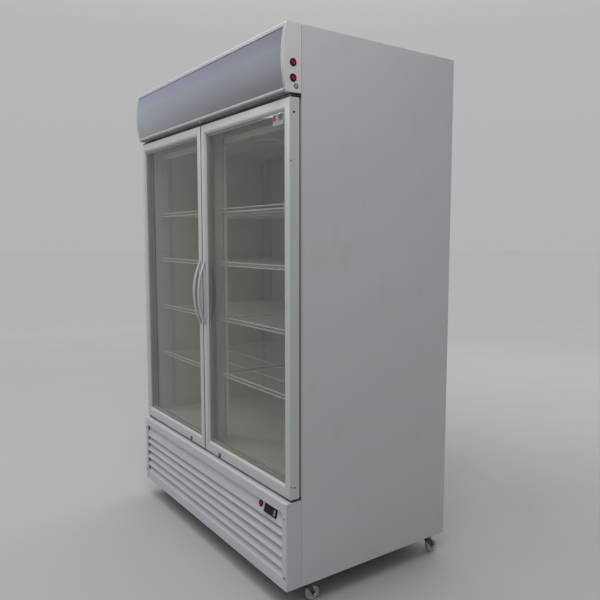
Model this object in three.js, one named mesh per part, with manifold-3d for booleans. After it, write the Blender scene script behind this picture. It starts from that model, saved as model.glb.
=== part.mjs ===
// A two-door glass merchandiser: an upright display refrigerator with a light box above its doors.
// Millimetres, +Z up, the doors face -Y. The origin is on the floor, under the middle of the object.
import * as THREE from "three";
import { mergeVertices } from "three/addons/utils/BufferGeometryUtils.js";
import Module from "manifold-3d";

const wasm = await Module();
wasm.setup();

// ---- Driving dimensions ----
const width = 1268;
const cabinetDepth = 706;
const floorGap = 84; // from the floor to the lower edge of the side panels
const height = 1947;
const doorReach = 46; // from the cabinet's front plane to the face of the doors
const handleReach = 32; // from the face of the doors to the crest of a handle
const skin = 1.5; // steel sheet
const wall = 44; // foamed wall with its two skins
const gap = 0.3; // between pieces that touch

const half = width / 2;
const front = (doorReach + handleReach - cabinetDepth) / 2; // Y of the cabinet's front plane
const rear = front + cabinetDepth;
const sides = [
  { name: "left", sign: -1 },
  { name: "right", sign: 1 },
];

// Machine compartment, insulated box and header, from the floor up.
const grilleTop = floorGap + 308;
const liner = { bottom: grilleTop + 2, floor: floorGap + 345, throatTop: floorGap + 1610 };
const doors = { bottom: floorGap + 318, top: floorGap + 1636, gap: 6, thick: 39 };
const header = { bottom: floorGap + 1650, depth: 57, bulge: 13, cap: 14 };
const grilleReach = 62;
const innerHalf = half - wall; // inside face of a side wall
const flange = 15; // folded edge of a side panel
const mullionHalf = 22;
const frameDepth = 40;
const backInside = rear - 46;
const coverTop = grilleTop - 2;

// ---- Materials ----
function finish(color, roughness, metalness = 0) {
  return new THREE.MeshStandardMaterial({ color, roughness, metalness });
}
const white = finish(0xd9d9dc, 0.45);
const doorWhite = finish(0xd3d9d6, 0.4);
const linerWhite = finish(0xcfd3cc, 0.5);
const trimGrey = finish(0xb9bdbf, 0.4);
const lens = finish(0x8f96a8, 0.25);
const glass = finish(0x6c7470, 0.1);
const rubber = finish(0x2b2e2e, 0.8);
const wire = finish(0xdfe3e0, 0.5);
const black = finish(0x17181a, 0.5);
const red = finish(0xb3141f, 0.35);
const steel = finish(0xa8abad, 0.35, 0.9);
const aluminium = finish(0xb4b8ba, 0.45, 0.8);
const casterGrey = finish(0x8e8b80, 0.6);

// ---- Solids ----
const model = new THREE.Group();

function assembly(name) {
  const group = new THREE.Group();
  group.name = name;
  model.add(group);
  return group;
}

const cabinetGroup = assembly("cabinet");
const headerGroup = assembly("header_light_box");
const grilleGroup = assembly("front_grille");
const doorGroups = { left: assembly("left_door"), right: assembly("right_door") };
const interiorGroup = assembly("interior");
const machineGroup = assembly("machine_compartment");
const casterGroup = assembly("casters");

function solid(geometry) {
  const plain = geometry.index ? geometry.toNonIndexed() : geometry.clone();
  plain.deleteAttribute("normal");
  plain.deleteAttribute("uv");
  const merged = mergeVertices(plain, 1e-3);
  const vertProperties = new Float32Array(merged.attributes.position.array);
  const triVerts = new Uint32Array(merged.index.array);
  return new wasm.Manifold(new wasm.Mesh({ numProp: 3, vertProperties, triVerts }));
}

function geometryOf(made) {
  const mesh = made.getMesh();
  const geometry = new THREE.BufferGeometry();
  geometry.setAttribute("position", new THREE.BufferAttribute(mesh.vertProperties, 3));
  geometry.setIndex(new THREE.BufferAttribute(mesh.triVerts, 1));
  geometry.computeVertexNormals();
  return geometry;
}

function add(group, name, made, material) {
  const mesh = new THREE.Mesh(geometryOf(made), material);
  mesh.name = name;
  group.add(mesh);
  return mesh;
}

function box(x, y, z) {
  const size = [x[1] - x[0], y[1] - y[0], z[1] - z[0]];
  const geometry = new THREE.BoxGeometry(...size);
  geometry.translate((x[0] + x[1]) / 2, (y[0] + y[1]) / 2, (z[0] + z[1]) / 2);
  return solid(geometry);
}

// The box mirrored to the side given by sign, from distances measured outwards from the middle plane.
function sideBox(sign, x, y, z) {
  return box(sign > 0 ? x : [-x[1], -x[0]], y, z);
}

function outline(points) {
  return new THREE.Shape(points.map(([u, v]) => new THREE.Vector2(u, v)));
}

function rectangle(u, v) {
  return outline([[u[0], v[0]], [u[1], v[0]], [u[1], v[1]], [u[0], v[1]]]);
}

// A profile in the YZ plane, extruded along X from x[0] to x[1].
function alongX(shape, x, options = {}) {
  const depth = x[1] - x[0];
  const geometry = new THREE.ExtrudeGeometry(shape, { depth, bevelEnabled: false, ...options });
  geometry.applyMatrix4(new THREE.Matrix4().makeBasis(
    new THREE.Vector3(0, 1, 0),
    new THREE.Vector3(0, 0, 1),
    new THREE.Vector3(1, 0, 0),
  ));
  geometry.translate(x[0], 0, 0);
  return solid(geometry);
}

// A profile in the XZ plane, extruded along Y from y[0] to y[1]; a bevel stays between the two.
function alongY(shape, y, bevel = 0) {
  const options = {
    depth: y[1] - y[0] - 2 * bevel,
    bevelEnabled: bevel > 0,
    bevelThickness: bevel,
    bevelSize: bevel,
    bevelOffset: -bevel,
    bevelSegments: 1,
  };
  const geometry = new THREE.ExtrudeGeometry(shape, options);
  geometry.rotateX(Math.PI / 2);
  geometry.translate(0, y[1] - bevel, 0);
  return solid(geometry);
}

// A profile in the XY plane, extruded up from z[0] to z[1].
function alongZ(shape, z) {
  const geometry = new THREE.ExtrudeGeometry(shape, { depth: z[1] - z[0], bevelEnabled: false });
  geometry.translate(0, 0, z[0]);
  return solid(geometry);
}

// A round bar from a to b along one of the axes.
function rod(radius, a, b, segments = 20) {
  const from = new THREE.Vector3(...a);
  const to = new THREE.Vector3(...b);
  const way = to.clone().sub(from);
  const geometry = new THREE.CylinderGeometry(radius, radius, way.length(), segments);
  const up = new THREE.Vector3(0, 1, 0);
  const turn = new THREE.Quaternion().setFromUnitVectors(up, way.clone().normalize());
  geometry.applyQuaternion(turn);
  const middle = from.add(to).multiplyScalar(0.5);
  geometry.translate(middle.x, middle.y, middle.z);
  return solid(geometry);
}

// A turned piece about the Z axis, from a profile of [radius, z] points that starts and ends on the axis.
function turned(points, segments = 28) {
  return solid(new THREE.LatheGeometry(points.map(([r, z]) => new THREE.Vector2(r, z)), segments)
    .rotateX(Math.PI / 2));
}

function union(pieces) {
  return pieces.reduce((all, piece) => all.add(piece));
}

function subtract(made, cuts) {
  return cuts.reduce((left, cut) => left.subtract(cut), made);
}

// ---- Cabinet ----
function sidePanel({ name, sign }) {
  const x = (inset) => sign * (half - inset);
  const profile = outline([
    [x(0), front], [x(0), rear], [x(flange), rear], [x(flange), rear - skin],
    [x(skin), rear - skin], [x(skin), front + skin], [x(flange), front + skin], [x(flange), front],
  ]);
  add(cabinetGroup, `${name}_side_panel`, alongZ(profile, [floorGap, height]), white);
}

const skinInside = half - skin - gap; // where the pieces between the side panels end
const faceHalf = half - flange - gap; // where the pieces between the folded edges end

function topAndBack() {
  const across = [-skinInside, skinInside];
  const deep = [front + skin + gap, rear - skin - gap];
  add(cabinetGroup, "top_panel", box(across, deep, [height - skin, height]), white);
  const sheet = box([-faceHalf, faceHalf], [rear - skin, rear], [grilleTop, height - skin - gap]);
  add(cabinetGroup, "back_panel", sheet, white);
}

function linerWalls() {
  const top = height - skin - gap;
  const deep = [front + frameDepth + gap, rear - skin - gap];
  for (const { name, sign } of sides) {
    const made = sideBox(sign, [innerHalf, skinInside], deep, [liner.floor, top]);
    add(cabinetGroup, `liner_${name}_wall`, made, linerWhite);
  }
  const between = [-innerHalf + gap, innerHalf - gap];
  add(cabinetGroup, "liner_ceiling", box(between, deep, [top - wall, top]), linerWhite);
  const across = [-skinInside, skinInside];
  add(cabinetGroup, "liner_floor", box(across, deep, [liner.bottom, liner.floor - gap]), linerWhite);
  const back = box(between, [backInside, rear - skin - gap], [liner.floor, top - wall - gap]);
  add(cabinetGroup, "liner_back_wall", back, linerWhite);
}

function faceFrame() {
  const slab = box([-faceHalf, faceHalf], [front, front + frameDepth], [liner.bottom, height - skin - gap]);
  const through = [front - 1, front + frameDepth + 1];
  const throats = sides.map(({ sign }) => (
    sideBox(sign, [mullionHalf, innerHalf], through, [liner.floor, liner.throatTop])
  ));
  add(cabinetGroup, "face_frame", subtract(slab, throats), linerWhite);
}

const caster = {
  x: half - 36, front: front + 48, rear: front + 650, trail: 22, radius: 25, tread: 20, plate: 3,
};
const casterPlaces = sides.flatMap(({ name, sign }) => [
  { name: `front_${name}`, x: sign * caster.x, y: caster.front },
  { name: `rear_${name}`, x: sign * caster.x, y: caster.rear },
]);

function baseFrame() {
  const deep = [front + 2, rear - skin - gap];
  const upstand = 26;
  const pan = 3;
  const profile = outline([
    [deep[0], floorGap], [deep[1], floorGap], [deep[1], floorGap + upstand],
    [deep[1] - pan, floorGap + upstand], [deep[1] - pan, floorGap + pan],
    [deep[0] + pan, floorGap + pan], [deep[0] + pan, floorGap + upstand], [deep[0], floorGap + upstand],
  ]);
  const plates = casterPlaces.map(({ x, y }) => {
    const reach = 30;
    return box([x - reach, x + reach], [y - reach, y + reach], [floorGap - caster.plate, floorGap + 1]);
  });
  add(cabinetGroup, "base_frame", union([alongX(profile, [-skinInside, skinInside]), ...plates]), steel);
}

const gland = { x: 480, z: floorGap + 70, radius: 9, reach: 12 };

function rearCover() {
  const sheet = box([-faceHalf, faceHalf], [rear - skin, rear], [floorGap + 2, coverTop]);
  const slots = [];
  const slot = { long: 200, high: 8, pitch: 24, count: 7 };
  for (const from of [-430, -190, 50]) {
    for (let i = 0; i < slot.count; i += 1) {
      const low = floorGap + 80 + i * slot.pitch;
      slots.push(box([from, from + slot.long], [rear - 5, rear + 5], [low, low + slot.high]));
    }
  }
  const { x, z, radius, reach } = gland;
  const boss = rod(radius, [x, rear - skin, z], [x, rear + reach - 6, z]);
  add(cabinetGroup, "rear_cover", subtract(sheet, slots).add(boss), white);
}

// ---- Header light box ----
const lensTop = height - 17;
const lensBottom = header.bottom + 15;
// The bulge is one arc between the header's top and bottom front edges.
const chord = height - header.bottom;
const arcRadius = ((chord / 2) ** 2 + header.bulge ** 2) / (2 * header.bulge);
const arcMiddle = (height + header.bottom) / 2;

// Y of the front arc at a height, set back from it by inset.
function arcY(z, inset = 0) {
  const rise = Math.sqrt((arcRadius - inset) ** 2 - (z - arcMiddle) ** 2) - (arcRadius - header.bulge);
  return front - header.depth - rise;
}

function arcPoints(from, to, inset, steps = 12) {
  return Array.from({ length: steps + 1 }, (_, i) => {
    const z = from + ((to - from) * i) / steps;
    return [arcY(z, inset), z];
  });
}

const capInside = half - header.cap - gap;

function headerHousing() {
  const lip = front - header.depth + 0.5;
  const back = front - gap;
  const profile = outline([
    [back, header.bottom + 2], [back, height], [lip, height], [lip, lensTop + 2],
    [lip + skin, lensTop + 2], [lip + skin, height - skin],
    [back - skin, height - skin], [back - skin, header.bottom + 2 + skin],
    [front - 42, header.bottom + 2 + skin], [front - 42, header.bottom + 2],
  ]);
  add(headerGroup, "header_housing", alongX(profile, [-capInside, capInside]), white);
}

function headerLens() {
  const thick = 3;
  const outer = arcPoints(lensBottom, lensTop, 1);
  const inner = arcPoints(lensTop, lensBottom, 1 + thick);
  add(headerGroup, "header_lens", alongX(outline([...outer, ...inner]), [-capInside, capInside]), lens);
}

const trimRail = { low: floorGap + 1652, high: floorGap + 1666, out: front - 62, back: front - 46 };

function headerTrim() {
  const radius = 6;
  const { low, high, out, back } = trimRail;
  const shape = new THREE.Shape();
  shape.moveTo(back, low);
  shape.lineTo(out + radius, low);
  shape.absarc(out + radius, low + radius, radius, -Math.PI / 2, -Math.PI, true);
  shape.lineTo(out, high - radius);
  shape.absarc(out + radius, high - radius, radius, Math.PI, Math.PI / 2, true);
  shape.lineTo(back, high - 1);
  const options = { curveSegments: 5 };
  const rail = alongX(shape, [-capInside, capInside], options);
  const recess = box([-half, half], [front - 60, front - 40], [lensBottom - 1.5, high + 1]);
  add(headerGroup, "header_bottom_trim", rail.subtract(recess), trimGrey);
}

const rockers = { radius: 8, bore: 9.5, y: front - 33, tip: THREE.MathUtils.degToRad(10) };
const headerRockers = [
  { name: "header_light_rocker", z: floorGap + 1741 },
  { name: "header_fan_rocker", z: floorGap + 1694 },
];
const capScrew = { y: front - 21.5, z: floorGap + 1670, radius: 7 };

function endCap({ name, sign }) {
  const corner = 8;
  const shape = new THREE.Shape();
  shape.moveTo(front - gap, header.bottom);
  shape.lineTo(front - header.depth + corner, header.bottom);
  shape.absarc(front - header.depth + corner, header.bottom + corner, corner, -Math.PI / 2, -Math.PI, true);
  for (const [y, z] of arcPoints(header.bottom + corner + 2, height, 0)) shape.lineTo(y, z);
  shape.lineTo(front - gap, height);
  const x = sign > 0 ? [half - header.cap, half] : [-half, -half + header.cap];
  const cap = alongX(shape, x, { curveSegments: 5 });
  const screwBore = 3.5;
  const holes = [];
  if (sign > 0) {
    for (const { z } of headerRockers) {
      holes.push(rod(rockers.bore, [x[0] - 1, rockers.y, z], [x[1] + 1, rockers.y, z]));
    }
    holes.push(rod(screwBore, [x[0] - 1, capScrew.y, capScrew.z], [x[1] + 1, capScrew.y, capScrew.z]));
  }
  add(headerGroup, `header_end_cap_${name}`, subtract(cap, holes), white);
}

function headerLamp() {
  const z = arcMiddle + 12;
  const y = front - 30;
  const reach = capInside - 26;
  const tube = rod(13, [-reach, y, z], [reach, y, z]);
  const holders = sides.map(({ sign }) => {
    const x = [reach - 8, reach + 18];
    return sideBox(sign, x, [y - 12, front - gap - skin - gap], [z - 16, z + 16]);
  });
  add(headerGroup, "header_lamp", union([tube, ...holders]), lens);
}

// A round rocker about the Z axis: a shank in the wall and a dished button, which stands tipped when off.
function rockerSolid(length) {
  const radius = rockers.radius;
  const shank = radius * 0.7;
  const button = turned([
    [0, -length], [shank, -length], [shank, -2], [radius, -2], [radius, 2.5], [0, 2.5],
  ], 20);
  const dish = turned([[0, 1], [radius + 1, 5.2], [radius + 1, 8], [0, 8]], 20);
  return button.subtract(dish);
}

function headerRockerButtons() {
  for (const { name, z } of headerRockers) {
    const mesh = add(headerGroup, name, rockerSolid(8), red);
    mesh.rotation.y = Math.PI / 2 - rockers.tip;
    mesh.position.set(half, rockers.y, z);
  }
  const head = turned([
    [0, -9], [3, -9], [3, 0.3], [capScrew.radius, 0.3], [capScrew.radius, 1.6], [5, 3.4], [0, 4.2],
  ]);
  const screw = add(headerGroup, "header_cap_screw", head, steel);
  screw.rotation.y = Math.PI / 2;
  screw.position.set(half, capScrew.y, capScrew.z);
}

// ---- Front grille panel ----
const louvre = {
  half: half - 28, top: floorGap + 270, field: floorGap + 218, pitch: 38.6, count: 5, sheet: 2,
};
const fieldY = front - grilleReach + 7;
const crestY = front - grilleReach + 2.5;
const valleyY = front - grilleReach + 17;
const crests = Array.from({ length: louvre.count }, (_, i) => floorGap + 186 - i * louvre.pitch);
const powerSwitch = { x: half - 174, z: floorGap + 251 };
const controller = { x: half - 107, z: floorGap + 248, width: 77, height: 34.5, body: 70, bodyHeight: 28 };

// The pressed sheet behind the window: a flat field, then one sloping blade for each louvre.
function louvreProfile() {
  const face = [[fieldY, louvre.top + 8], [fieldY, louvre.field]];
  let above = louvre.field;
  for (const crest of crests) {
    face.push([valleyY, above - 5], [crestY, crest]);
    above = crest;
  }
  const low = crests.at(-1) - 5;
  face.push([valleyY, low], [valleyY, low - 14]);
  const behind = face.map(([y, z]) => [y + louvre.sheet, z + (y < valleyY && z < louvre.field ? 1.6 : 0)]);
  return outline([...face, ...behind.reverse()]);
}

function grillePanel() {
  const frontY = front - grilleReach;
  const sheet = 2;
  const low = floorGap;
  const outer = box([-half, half], [frontY, front - gap], [low, grilleTop]);
  const inside = half - sheet;
  const inner = box([-inside, inside], [frontY + sheet, front + 5], [low - 5, grilleTop - sheet]);
  const windowLow = crests.at(-1) - 3;
  const window = box([-louvre.half, louvre.half], [frontY - 5, frontY + 5], [windowLow, louvre.top]);
  const ends = half - sheet + 0.5;
  const blades = alongX(louvreProfile(), [-ends, ends]);
  const bridge = box([-ends, ends], [frontY + 1, valleyY + 1], [windowLow - 12, windowLow - 9]);
  const roof = box([-ends, ends], [frontY + 1, fieldY + 1], [louvre.top + 4, louvre.top + 7]);
  const cuts = [];
  const slots = { count: 6, web: 24 };
  const slotPitch = (2 * (louvre.half - 20)) / slots.count;
  for (const crest of crests) {
    for (let i = 0; i < slots.count; i += 1) {
      const x = -louvre.half + 20 + i * slotPitch + slots.web / 2;
      const y = [crestY + 4, valleyY - 2];
      cuts.push(box([x, x + slotPitch - slots.web], y, [crest - 7, crest - 0.2]));
    }
  }
  const notchTops = [louvre.top, ...[louvre.field, ...crests.slice(0, -1)].map((z) => z + 1)];
  const notchDeep = [fieldY - 1, valleyY + 6];
  notchTops.forEach((top, i) => {
    const tall = i === 0 ? 26 : 13;
    for (const { sign } of sides) {
      cuts.push(sideBox(sign, [louvre.half, louvre.half + 9], notchDeep, [top - tall, top]));
    }
  });
  const at = powerSwitch;
  cuts.push(rod(rockers.bore, [at.x, fieldY - 3, at.z], [at.x, fieldY + 6, at.z]));
  const reachX = controller.body / 2 + gap;
  const reachZ = controller.bodyHeight / 2 + gap;
  cuts.push(box(
    [controller.x - reachX, controller.x + reachX],
    [fieldY - 3, fieldY + 6],
    [controller.z - reachZ, controller.z + reachZ],
  ));
  const shell = subtract(outer, [inner, window]);
  add(grilleGroup, "grille_panel", subtract(union([shell, blades, bridge, roof]), cuts), white);
}

function grilleControls() {
  const button = add(grilleGroup, "power_rocker", rockerSolid(10), red);
  button.rotation.x = Math.PI / 2 - rockers.tip;
  button.position.set(powerSwitch.x, fieldY, powerSwitch.z);

  const { x, z } = controller;
  const bezel = box(
    [x - controller.width / 2, x + controller.width / 2],
    [fieldY - 5, fieldY - gap],
    [z - controller.height / 2, z + controller.height / 2],
  );
  const body = box(
    [x - controller.body / 2, x + controller.body / 2],
    [fieldY - 1, fieldY + 40],
    [z - controller.bodyHeight / 2, z + controller.bodyHeight / 2],
  );
  add(grilleGroup, "temperature_controller", bezel.add(body), black);
}

// ---- Doors ----
const doorWidth = half - doors.gap / 2 - 1;
const rails = { stile: 36, top: 38, bottom: 44, bevel: 5 };
const doorFace = front - doorReach;
const doorBack = doorFace + doors.thick;
const hinge = { x: half - 18, y: front - 27, pin: 4, depth: 14 };
const lock = { x: 131, z: doors.bottom + 11, radius: 5, flange: 8.5 };

function doorSpan(sign) {
  const inner = doors.gap / 2;
  const x = [inner, inner + doorWidth];
  return sign > 0 ? x : [-x[1], -x[0]];
}

function doorFrame({ name, sign }) {
  const x = doorSpan(sign);
  const shape = rectangle(x, [doors.bottom, doors.top]);
  const hole = {
    x: [x[0] + rails.stile, x[1] - rails.stile],
    z: [doors.bottom + rails.bottom, doors.top - rails.top],
  };
  shape.holes.push(rectangle(hole.x, hole.z));
  const frame = alongY(shape, [doorFace, doorBack], rails.bevel);
  const pin = [sign * hinge.x, hinge.y];
  const bores = [
    rod(hinge.pin + 0.5, [...pin, doors.top - hinge.depth], [...pin, doors.top + 1]),
    rod(hinge.pin + 0.5, [...pin, doors.bottom - 1], [...pin, doors.bottom + hinge.depth]),
    rod(lock.radius + 0.4, [sign * lock.x, doorFace - 1, lock.z], [sign * lock.x, doorFace + 19, lock.z]),
  ];
  add(doorGroups[name], `${name}_door_frame`, subtract(frame, bores), doorWhite);

  const inset = gap;
  const pane = box(
    [hole.x[0] + inset, hole.x[1] - inset],
    [doorFace + 6, doorFace + 26],
    [hole.z[0] + inset, hole.z[1] - inset],
  );
  add(doorGroups[name], `${name}_door_glass`, pane, glass);
}

function gasket({ name, sign }) {
  const x = doorSpan(sign);
  const edge = { hinge: 16, meeting: 3, width: 18, end: 12 };
  const [near, far] = sign > 0 ? [edge.meeting, edge.hinge] : [edge.hinge, edge.meeting];
  const outer = [x[0] + near, x[1] - far];
  const z = [doors.bottom + edge.end, doors.top - edge.end];
  const shape = rectangle(outer, z);
  const inner = [z[0] + edge.width, z[1] - edge.width];
  shape.holes.push(rectangle([outer[0] + edge.width, outer[1] - edge.width], inner));
  add(doorGroups[name], `${name}_door_gasket`, alongY(shape, [doorBack + gap, front - 0.6]), rubber);
}

// A bow handle: the space between two arcs, seen from the side, as wide as the hand's grip.
const handle = { z: floorGap + 971, reach: 133, width: 18, thick: 9, x: 21 };

function bow({ name, sign }) {
  const arc = (chordHalf, rise) => (chordHalf ** 2 + rise ** 2) / (2 * rise);
  const outerRadius = arc(handle.reach, handleReach);
  const innerReach = handle.reach - 16;
  const innerRise = handleReach - handle.thick;
  const innerRadius = arc(innerReach, innerRise);
  const steps = 14;
  const curve = (radius, reach, rise, i) => {
    const z = -reach + (2 * reach * i) / steps;
    return [doorFace - gap - (Math.sqrt(radius ** 2 - z ** 2) - (radius - rise)), handle.z + z];
  };
  const points = [];
  for (let i = 0; i <= steps; i += 1) points.push(curve(outerRadius, handle.reach, handleReach - gap, i));
  for (let i = steps; i >= 0; i -= 1) points.push(curve(innerRadius, innerReach, innerRise, i));
  const x = sign * handle.x;
  const made = alongX(outline(points), [x - handle.width / 2, x + handle.width / 2]);
  add(doorGroups[name], `${name}_door_handle`, made, doorWhite);
}

function doorLock({ name, sign }) {
  const plug = turned([
    [0, -18], [lock.radius, -18], [lock.radius, gap],
    [lock.flange, gap], [lock.flange, 2.2], [lock.flange - 1.5, 3.4], [0, 3.4],
  ]);
  const key = box([-0.8, 0.8], [-3, 3], [1.5, 6]);
  const mesh = add(doorGroups[name], `${name}_door_lock`, plug.subtract(key), steel);
  mesh.rotation.x = Math.PI / 2;
  mesh.position.set(sign * lock.x, doorFace, lock.z);
}

function hingePlates({ name, sign }) {
  const thick = 4;
  const reach = [half - 70, half - 2];
  const deep = [front - 40, front - gap];
  const turnUp = 9;
  for (const end of ["top", "bottom"]) {
    const top = end === "top";
    const low = top ? doors.top + 3.5 : doors.bottom - 3.5 - thick;
    const plate = sideBox(sign, reach, deep, [low, low + thick]);
    const lipTop = low + (top ? turnUp : thick + 3);
    const upstand = sideBox(sign, reach, [front - 3.3, front - gap], [low, lipTop]);
    const pinZ = top ? [low - 14, low + 1] : [low + thick - 1, low + thick + 14];
    const pin = rod(hinge.pin, [sign * hinge.x, hinge.y, pinZ[0]], [sign * hinge.x, hinge.y, pinZ[1]]);
    add(cabinetGroup, `${name}_${end}_hinge`, union([plate, upstand, pin]), steel);
  }
}

// ---- Interior ----
const shelf = {
  inner: mullionHalf + 4, outer: innerHalf - 4,
  front: front + 22, rear: front + 628,
  thick: 7, lip: 20, levels: [622, 854, 1079, 1292],
};

function wireShelf(sign, bay, index, level) {
  const x = sign > 0 ? [shelf.inner, shelf.outer] : [-shelf.outer, -shelf.inner];
  const z = floorGap + level;
  const bar = 8;
  const margin = 14;
  const count = 6;
  const pitch = (x[1] - x[0] - 2 * margin + bar) / count;
  const slots = Array.from({ length: count }, (_, i) => {
    const from = x[0] + margin + i * pitch;
    const deep = [shelf.front + 12, shelf.rear - 10];
    return box([from, from + pitch - bar], deep, [z - 1, z + shelf.thick + 1]);
  });
  const slab = subtract(box(x, [shelf.front, shelf.rear], [z, z + shelf.thick]), slots);
  const lip = box(x, [shelf.front, shelf.front + 5], [z, z + shelf.lip]);
  add(interiorGroup, `${bay}_shelf_${index + 1}`, slab.add(lip), wire);
}

function shelves() {
  for (const { name, sign } of sides) {
    shelf.levels.forEach((level, index) => wireShelf(sign, name, index, level));
  }
}

const plenum = { low: liner.throatTop + 1, sheet: 3, fanX: 0, fanY: front + 330, fanRadius: 78 };

function evaporator() {
  const inside = innerHalf - 1;
  const deep = [front + frameDepth + 1, backInside - 30];
  const sheet = box([-inside, inside], deep, [plenum.low, plenum.low + plenum.sheet]);
  const cuts = [rod(
    plenum.fanRadius + 6,
    [plenum.fanX, plenum.fanY, plenum.low - 1],
    [plenum.fanX, plenum.fanY, plenum.low + 10],
    36,
  )];
  add(interiorGroup, "evaporator_cover", subtract(sheet, cuts), linerWhite);

  const coil = box([-430, 430], [front + 450, front + 580], [plenum.low + 60, plenum.low + 170]);
  const fins = [];
  const finPitch = 82;
  for (let x = -410; x < 410; x += finPitch) {
    fins.push(box([x, x + 40], [front + 440, front + 470], [plenum.low + 50, plenum.low + 180]));
    fins.push(box([x, x + 40], [front + 560, front + 590], [plenum.low + 50, plenum.low + 180]));
  }
  add(interiorGroup, "evaporator_coil", subtract(coil, fins), aluminium);
}

const machine = { x: 250, z: floorGap + 160, fanY: front + 150, fanRadius: 122 };

// A fan about the Z axis: a hub with pitched blades.
function fan(radius, blades) {
  const hub = turned([[0, -16], [20, -16], [20, 12], [16, 16], [0, 16]], 24);
  const made = [hub];
  for (let i = 0; i < blades; i += 1) {
    const geometry = new THREE.BoxGeometry(radius - 15, 52, 2.5);
    geometry.rotateX(THREE.MathUtils.degToRad(26));
    geometry.translate(15 + (radius - 15) / 2, 0, 0);
    geometry.rotateZ((i * 2 * Math.PI) / blades);
    made.push(solid(geometry));
  }
  return union(made);
}

function fans() {
  const inside = add(interiorGroup, "evaporator_fan", fan(plenum.fanRadius - 6, 5), black);
  inside.position.set(plenum.fanX, plenum.fanY, plenum.low + 40);
  const below = add(machineGroup, "condenser_fan", fan(110, 5), black);
  below.rotation.x = Math.PI / 2;
  below.position.set(machine.x, machine.fanY, machine.z);
}

function condenser() {
  const x = [machine.x - 175, machine.x + 175];
  const z = [floorGap + 5, floorGap + 292];
  const core = box(x, [front + 40, front + 96], z);
  const grooves = [];
  const fin = 14;
  for (let at = x[0] + fin; at < x[1] - fin; at += 2 * fin) {
    grooves.push(box([at, at + fin], [front + 30, front + 62], [z[0] + 12, z[1] - 12]));
  }
  const shroud = box(x, [front + 95, front + 135], z);
  const hollow = box([x[0] + 2, x[1] - 2], [front + 94, front + 133], [z[0] + 2, z[1] - 2]);
  const { x: fx, z: fz } = machine;
  const mouth = rod(machine.fanRadius, [fx, front + 120, fz], [fx, front + 150, fz], 36);
  const back = box([x[0], x[1]], [front + 95, front + 97], z);
  const made = union([subtract(shroud, [hollow, mouth]), subtract(core, grooves), back]);
  add(machineGroup, "condenser", made, aluminium);
}

function compressor() {
  const radius = 82;
  const body = turned([
    [0, 0], [radius - 26, 0], [radius - 6, 14], [radius, 34], [radius, 96], [radius + 4, 98],
    [radius + 4, 104], [radius, 106], [radius - 6, 160], [radius - 32, 186], [0, 194],
  ], 20);
  const foot = box([-110, 110], [-72, 72], [-6, 4]);
  const terminals = box([radius - 12, radius + 34], [-30, 30], [60, 128]);
  const corners = [-1, 1].flatMap((i) => [-1, 1].map((j) => [92 * i, 56 * j]));
  const feet = corners.map(([x, y]) => rod(12, [x, y, -18], [x, y, -5], 12));
  const suction = rod(7, [-radius + 10, 0, 120], [-radius - 40, 0, 120], 12);
  const mesh = add(machineGroup, "compressor", union([body, foot, terminals, suction, ...feet]), black);
  mesh.position.set(-300, front + 420, floorGap + 3 + gap + 18);
}

// ---- Casters ----
// A swivel fork about its own swivel axis, the wheel trailing to the rear on one slanting arm a side.
function forkSolid() {
  const top = floorGap - caster.plate - gap;
  const race = rod(23, [0, 0, top - 7], [0, 0, top], 24);
  const crown = box([-14, 14], [-18, 12], [top - 12, top - 6]);
  const axle = { y: caster.trail, z: caster.radius };
  const end = 6.5;
  const arm = new THREE.Shape();
  arm.moveTo(-18, top - 7);
  arm.lineTo(2, top - 7);
  arm.lineTo(axle.y + end, axle.z + 4);
  arm.absarc(axle.y, axle.z, end, 0.3, -Math.PI + 0.5, true);
  const inside = caster.tread / 2 + 1.5;
  const sheet = 2.5;
  const arms = [-1, 1].map((side) => {
    const from = side > 0 ? inside : -inside - sheet;
    return alongX(arm, [from, from + sheet], { curveSegments: 4 });
  });
  const reach = inside + sheet;
  const pin = rod(4, [-reach - 4, axle.y, axle.z], [reach + 4, axle.y, axle.z], 12);
  const nuts = [-1, 1].map((side) => (
    rod(5.5, [side * (reach - 1), axle.y, axle.z], [side * (reach + 4), axle.y, axle.z], 6)
  ));
  return union([race, crown, ...arms, pin, ...nuts]);
}

// A wheel about the Y axis: a dished disc with a raised hub and rim, bored for the axle.
function wheelSolid() {
  const r = caster.radius;
  const w = caster.tread / 2;
  const bore = 4.3;
  const side = [[bore, w], [9, w], [12, w - 3], [r - 6, w - 3], [r - 5, w], [r - 1.5, w], [r, w - 2]];
  const mirrored = side.map(([radius, at]) => [radius, -at]).reverse();
  const profile = [...side, ...mirrored, side[0]].reverse();
  return solid(new THREE.LatheGeometry(profile.map(([a, b]) => new THREE.Vector2(a, b)), 24));
}

function casters() {
  const fork = forkSolid();
  const wheel = wheelSolid();
  for (const { name, x, y } of casterPlaces) {
    const forkMesh = add(casterGroup, `caster_fork_${name}`, fork, steel);
    forkMesh.position.set(x, y, 0);
    const wheelMesh = add(casterGroup, `caster_wheel_${name}`, wheel, casterGrey);
    wheelMesh.rotation.z = Math.PI / 2;
    wheelMesh.position.set(x, y + caster.trail, caster.radius);
  }
}

// ---- Assembly ----
sides.forEach(sidePanel);
topAndBack();
linerWalls();
faceFrame();
baseFrame();
rearCover();
headerHousing();
headerLens();
headerTrim();
sides.forEach(endCap);
headerLamp();
headerRockerButtons();
grillePanel();
grilleControls();
sides.forEach(doorFrame);
sides.forEach(gasket);
sides.forEach(bow);
sides.forEach(doorLock);
sides.forEach(hingePlates);
shelves();
evaporator();
condenser();
fans();
compressor();
casters();

export default model;
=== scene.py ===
"""Looks of the glass door merchandiser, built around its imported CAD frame.
Metres, +Z up, the doors face -Y."""

import math

import bmesh
import bpy
from mathutils import Matrix, Vector


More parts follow.
